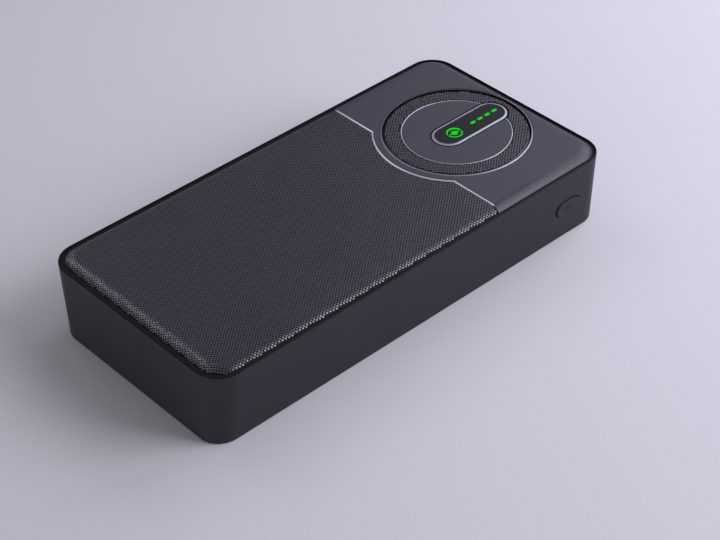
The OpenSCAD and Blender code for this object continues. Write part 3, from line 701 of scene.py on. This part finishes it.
ring_trim = turned_ring("finished_ring_trim", [
    (trim_in_r, deck_top, 0), (trim_out_r, deck_top, 0), (trim_out_r, panel_top - trim_fall, 0),
    (trim_in_r + trim_crest, trim_high.z, edge_softness), (trim_in_r, trim_high.z, edge_softness)])
textured_ring = turned_ring("finished_textured_ring", [
    (bead_r + ring_fit, deck_top, 0), (ring_r, deck_top, 0), (ring_r, ring_top - ring_fall, slope_foot_r),
    (ring_r - ring_slope, ring_top, slope_top_r), (bead_r + ring_fit, ring_top, edge_softness)])
ring_bead = turned_ring("finished_ring_bead", [
    (disc_r + ring_fit, deck_top, 0), (bead_r, deck_top, 0), (bead_r, bead_top, bead_round),
    (disc_r + ring_fit, bead_top, bead_round)])
centre_disc = loft("finished_centre_disc", [
    round_outline(disc_r, deck_top), round_outline(disc_r, disc_top - edge_softness),
    round_outline(disc_r - edge_softness/3, disc_top - edge_softness/3),
    round_outline(disc_r - edge_softness, disc_top)])

# The display's pocket breaks the disc, the bead and the grained ring
display_low, display_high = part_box("display_bezel")
display_x = (display_low.x + display_high.x)/2
display_l = display_high.x - display_low.x
display_w = display_high.y - display_low.y
bezel_gap = 0.4*mm


def display_outline(grow, z):
    """The bezel's pill at height z, grown all round."""
    return rounded(display_l + 2*grow, display_w + 2*grow, display_w/2 + grow, z, (display_x, 0))


for piece in (textured_ring, ring_bead, centre_disc):
    combine(piece, "DIFFERENCE", straight_cutter(display_outline, bezel_gap))

# Satin chrome over the plastic spreads each highlight into a soft pale line
bright_trim = bright("satin_plated_trim", "acacb6", 0.5, 0.7)
# Black with a slight polish, so that the ring's far slope stays dark and its near slope shines a little
polished_abs = moulded("polished_black_abs", "08080a", "0b0b0d", 0.42, 0.2*mm, 0.0003*mm, 0.5)


def outward_of(face):
    """How far a face looks away from the ring's axis."""
    return (face.center.x - ring_x)*face.normal.x + face.center.y*face.normal.y


# The grained ring's body takes the hollows' painted shade, as the textured panel's does
for piece, material in ((ring_trim, satin_abs), (textured_ring, stud_hollow_painted_shade), (ring_bead, bright_trim),
                        (centre_disc, satin_abs)):
    finish(piece, material, piece.name.removeprefix("finished_"))
    # Painted shade: the upright walls down in the pockets and the groove are painted black, as if in
    # shadow
    paint(piece, black_deck_and_painted_shade, lambda face: abs(face.normal.z) < 0.3)
paint(textured_ring, polished_abs, lambda face: 0.3 < face.normal.z < 0.995 and outward_of(face) > 0)
paint(ring_trim, bright_trim, lambda face: face.normal.z > 0.2 and outward_of(face) > 0)

# The studs stand on the ring's flat, and stop a little short of its edges and the pocket
stud_reach = ring_r - ring_slope - 0.5*stud_margin
area = loft("area", [round_outline(radius, z) for radius, z in (
    (bead_r + stud_margin, 0), (stud_reach, 0), (stud_reach, plate_t),
    (bead_r + stud_margin, plate_t))], ring=True)
combine(area, "DIFFERENCE", straight_cutter(
    display_outline, bezel_gap + stud_margin, low=-overshoot, high=plate_t + overshoot))
all_flat = (case_l, case_l, 0)
ring_grain = studded(area, "ring_grain", all_flat, flat_corner, edge_r, ring_top)

# ---- Display ----
# A plated bezel holds a smoked polycarbonate window flush in the ring.
# Behind the window, green light shows through a charging symbol and four level bars.

bezel_w = 0.7*mm
bezel_slope = 0.55*mm
bezel = soften([
    (0, deck_top, 0), (0, disc_top, 0), (bezel_slope, display_high.z, edge_softness),
    (bezel_w, display_high.z, edge_softness), (bezel_w, deck_top, 0)])
display_bezel = loft("finished_display_bezel", [display_outline(-p.x, p.y) for p in bezel], ring=True)
finish(display_bezel, bright_trim, "display_bezel")
# Painted shade: the bezel's upright walls below the disc are painted black, as if in shadow
paint(display_bezel, black_deck_and_painted_shade, lambda face: abs(face.normal.z) < 0.3 and face.center.z < disc_top)

# Tinted so deep that it looks like solid charcoal, with a soft coated surface
smoked_window = moulded("smoked_polycarbonate", "151519", "18181c", 0.35, 0.2*mm, 0.0005*mm, 0.2)
give(smoked_window, "display_window")

# Lit from behind through a diffuser: an even clear green that needs no light from outside
lit_green = bpy.data.materials.new("lit_green_diffuser")
lit_green.use_nodes = True
tree = lit_green.node_tree
cloud = add(tree, "ShaderNodeTexNoise", {
    "Vector": add(tree, "ShaderNodeTexCoord", {}).outputs["Object"], "Scale": 1/(0.8*mm)})
glow = add(tree, "ShaderNodeMix", {0: cloud.outputs["Fac"], 6: srgb("02d414"), 7: srgb("04de18")},
           data_type="RGBA")
shader = tree.nodes["Principled BSDF"]
shader.inputs["Base Color"].default_value = srgb("021c02")
shader.inputs["Roughness"].default_value = 0.6
shader.inputs["Specular IOR Level"].default_value = 0.05
shader.inputs["Emission Strength"].default_value = 1.0
tree.links.new(glow.outputs[2], shader.inputs["Emission Color"])
give(lit_green, "level_bars", "charge_symbol")

# ---- Power button ----
# A pill-shaped ABS key that floats in the near wall; its flange keeps it in from behind.
# Its pusher bears on the board's switch, and a standby mark is pad-printed on its face.

button_proud = 0.4*mm
flange_front = wall_t + 0.1*mm
flange_back = flange_front + 0.9*mm
pusher_r = 1.4*mm
pusher_gap = 0.05*mm
button_edge_r = 0.3*mm
pusher_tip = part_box("switch_plunger")[0].y - pusher_gap

flat_tip = [Vector((p.x, pusher_tip, p.z)) for p in on_wall(2*pusher_r, 2*pusher_r, 0)]
face_edge = [(button_edge_r*(1 - math.sin(a)), -button_proud + button_edge_r*(1 - math.cos(a)))
             for a in [math.radians(15*i) for i in range(6, -1, -1)]]
power_button = loft("finished_power_button", [
    flat_tip, on_wall(2*pusher_r, 2*pusher_r, flange_back),
    on_wall(button_l + 2*button_flange, button_h + 2*button_flange, flange_back),
    on_wall(button_l + 2*button_flange, button_h + 2*button_flange, flange_front),
    on_wall(button_l, button_h, flange_front)] + [
    on_wall(button_l - 2*inset, button_h - 2*inset, depth) for inset, depth in face_edge])
finish(power_button, case_abs, "power_button", body="button")

# The standby mark: a ring that is open at the top, and an upright bar in the opening
mark_r = 1.15*mm
mark_line = 0.34*mm
mark_t = 0.02*mm
mark_open = math.radians(38)
mark_steps = 36
bar_low = 0.2*mark_r
bar_high = 1.15*mark_r
arc = [math.pi/2 + mark_open + (2*math.pi - 2*mark_open)*i/mark_steps for i in range(mark_steps + 1)]
strokes = [
    [(mark_r*math.cos(a), mark_r*math.sin(a)) for a in arc]
    + [((mark_r - mark_line)*math.cos(a), (mark_r - mark_line)*math.sin(a)) for a in reversed(arc)],
    [(-mark_line/2, bar_low), (mark_line/2, bar_low), (mark_line/2, bar_high),
     (-mark_line/2, bar_high)]]
# A thin flat film, darker and duller than the key under it
ink = moulded("pad_printed_ink", "131316", "161619", 0.6, 0.1*mm, 0.001*mm, 0.2)
for name, stroke in zip(("button_mark_ring", "button_mark_bar"), strokes):
    layers = [[Vector((button_x + x, wall_y(button_z + z) - button_proud - lift, button_z + z))
               for x, z in stroke] for lift in (-mark_t, mark_t)]
    finish(loft(name, layers), ink, "power_button", stands_for_node=False, body="button")

# ---- Connectors ----
# Two type A sockets, a type C socket and a micro socket stand on the board behind the end wall.
# Each is a drawn steel shell with a rolled lip, nickel plated, round a moulded tongue.

shell_t = 0.3*mm
lip_round = 0.13*mm


def plated(name, colour, roughness, grain):
    """Plated metal: long faint draw marks that change the gloss."""
    made = bpy.data.materials.new(name)
    made.use_nodes = True
    tree = made.node_tree
    stretched = add(tree, "ShaderNodeMapping", {
        "Vector": add(tree, "ShaderNodeTexCoord", {}).outputs["Object"], "Scale": (0.15, 1, 1)})
    marks = add(tree, "ShaderNodeTexNoise", {
        "Vector": stretched.outputs["Vector"], "Scale": 1/grain, "Detail": 3.0})
    gloss = add(tree, "ShaderNodeMapRange", {
        "Value": marks.outputs["Fac"], "To Min": roughness - 0.08, "To Max": roughness + 0.08})
    shader = tree.nodes["Principled BSDF"]
    shader.inputs["Base Color"].default_value = srgb(colour)
    shader.inputs["Metallic"].default_value = 1.0
    tree.links.new(gloss.outputs["Result"], shader.inputs["Roughness"])
    return made


# Bright warm grey with clear reflections, and a warm yellow flash on the contacts
nickel = plated("nickel_plated_steel", "c4c2bd", 0.28, 0.3*mm)
gold = plated("gold_flashed_bronze", "d9b45c", 0.25, 0.2*mm)


def shell(node, outline):
    """A connector's shell: open at the mouth with a rolled lip, closed at the back."""
    low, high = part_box(node)
    section = soften([(0, low.x, 0), (0, high.x, lip_round), (shell_t, high.x, lip_round),
                      (shell_t, low.x + shell_t, 0)])
    finish(loft("finished_" + node, [across(outline(-p.x), p.y) for p in section]), nickel, node)


for node, outline in ports.items():
    shell(node, outline)

# Each type A socket grips its plug with four sprung fingers, two in the floor and two in the roof
finger_w = 2*mm
finger_l = 6*mm
finger_setback = 1.2*mm
finger_spread = 3.1*mm
finger_bow = 0.45*mm
roof_share = 0.45
finger_t = 0.15*mm
finger_steps = 12
for node in ("usb_a_shell_left", "usb_a_shell_right"):
    low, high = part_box(node)
    fingers = bmesh.new()
    for side, wall, inward, share in [(s, *rest) for s in (-1, 1) for rest in (
            (low.z + shell_t, 1, 1), (high.z - shell_t, -1, roof_share))]:
        y = (low.y + high.y)/2 + side*finger_spread
        rows = []
        for step in range(finger_steps + 1):
            along = step/finger_steps
            x = high.x - finger_setback - finger_l*along
            z = wall + inward*finger_bow*share*math.sin(math.pi*along)**2
            rows.append([fingers.verts.new(p) for p in (
                (x, y - finger_w/2, z), (x, y + finger_w/2, z),
                (x, y + finger_w/2, z + inward*finger_t), (x, y - finger_w/2, z + inward*finger_t))])
        fingers.faces.new(rows[0])
        fingers.faces.new(reversed(rows[-1]))
        for near, far in zip(rows, rows[1:]):
            for i in range(4):
                fingers.faces.new((near[i], near[i - 1], far[i - 1], far[i]))
    bmesh.ops.recalc_face_normals(fingers, faces=fingers.faces)
    mesh = bpy.data.meshes.new(node.replace("shell", "fingers"))
    fingers.to_mesh(mesh)
    fingers.free()
    piece = bpy.data.objects.new(mesh.name, mesh)
    scene.collection.objects.link(piece)
    finish(piece, nickel, node, stands_for_node=False)

# Liquid crystal polymer, moulded dense and smooth, with the slight sheen of a hard plastic
white_lcp = moulded("white_lcp_plastic", "d8d8d2", "dededa", 0.45, 0.2*mm, 0.002*mm)
black_lcp = moulded("black_lcp_plastic", "141416", "18181a", 0.45, 0.2*mm, 0.002*mm)
give(white_lcp, "usb_a_tongues")
give(black_lcp, "usb_c_tongue", "micro_tongue", "light_baffle", "switch_body")
give(gold, "usb_a_contacts")

# ---- Board, light guide and switch ----
# A green fibreglass board carries the charging electronics; four screws hold it on the bosses.
# Acrylic pipes in a black baffle take each diode's light up to the window.

# The mask is a glossy lacquer over copper; chips are dull black, ferrite is dull grey with a coarse
# pressed grain, and fired ceramic is tan with a slight gloss
solder_mask = moulded("green_solder_mask", "0e4a2a", "135a34", 0.3, 1.2*mm, 0.004*mm)
epoxy = moulded("moulded_epoxy_chip", "141416", "1a1a1c", 0.55, 0.1*mm, 0.002*mm)
ferrite = moulded("pressed_ferrite", "3a3a3c", "444446", 0.6, 0.15*mm, 0.006*mm)
ceramic = moulded("fired_ceramic", "b59a72", "c2a880", 0.4, 0.2*mm, 0.001*mm)
# Polished acrylic shines; the diodes' silicone is yellow with phosphor; acetal is waxy white
acrylic = moulded("clear_acrylic", "dfe8e4", "e6efeb", 0.12, 0.5*mm, 0.0003*mm)
phosphor = moulded("phosphor_silicone", "e8e2a8", "efe9b4", 0.35, 0.2*mm, 0.001*mm)
acetal = moulded("white_acetal", "dedcd4", "e4e2da", 0.4, 0.2*mm, 0.001*mm)
# Zinc is a bluish grey, a drawn can is paler and cleaner
zinc = plated("zinc_plated_steel", "b8bcc4", 0.32, 0.2*mm)
can = plated("drawn_aluminium_can", "c9ccd0", 0.3, 0.4*mm)
give(solder_mask, "circuit_board")
give(epoxy, "controller_chips")
give(ferrite, "power_inductors")
give(ceramic, "chip_capacitors")
give(can, "polymer_capacitors")
give(acrylic, "light_pipes")
give(phosphor, "indicator_leds")
give(acetal, "switch_plunger")
give(zinc, "board_screws")

# ---- Cells ----
# Two flat lithium polymer cells, taped together between foam pads and joined by nickel strips.
# Silicone leads carry the current over to the board.

# The laminate is a soft silver, foam is dull with open pores, tape is off-white, and the leads' silicone
# has a soft sheen
pouch = plated("aluminium_laminate_pouch", "b9bdc2", 0.38, 3*mm)
foam = moulded("closed_cell_foam", "1c1c1e", "242426", 0.9, 0.5*mm, 0.05*mm, 0.1)
tape = moulded("double_sided_tape", "e4e2dc", "eceae4", 0.6, 0.3*mm, 0.003*mm)
nickel_strip = plated("spot_welded_nickel", "bdbab2", 0.3, 0.5*mm)
red_silicone = moulded("red_silicone_lead", "a5140f", "b01a14", 0.45, 0.2*mm, 0.001*mm)
black_silicone = moulded("black_silicone_lead", "161618", "1b1b1d", 0.45, 0.2*mm, 0.001*mm)
give(pouch, "lower_cell", "upper_cell")
give(foam, "lower_foam_pad", "upper_foam_pad")
give(tape, "cell_tape")
give(nickel_strip, "positive_strip", "negative_strip")
give(red_silicone, "positive_lead")
give(black_silicone, "negative_lead")
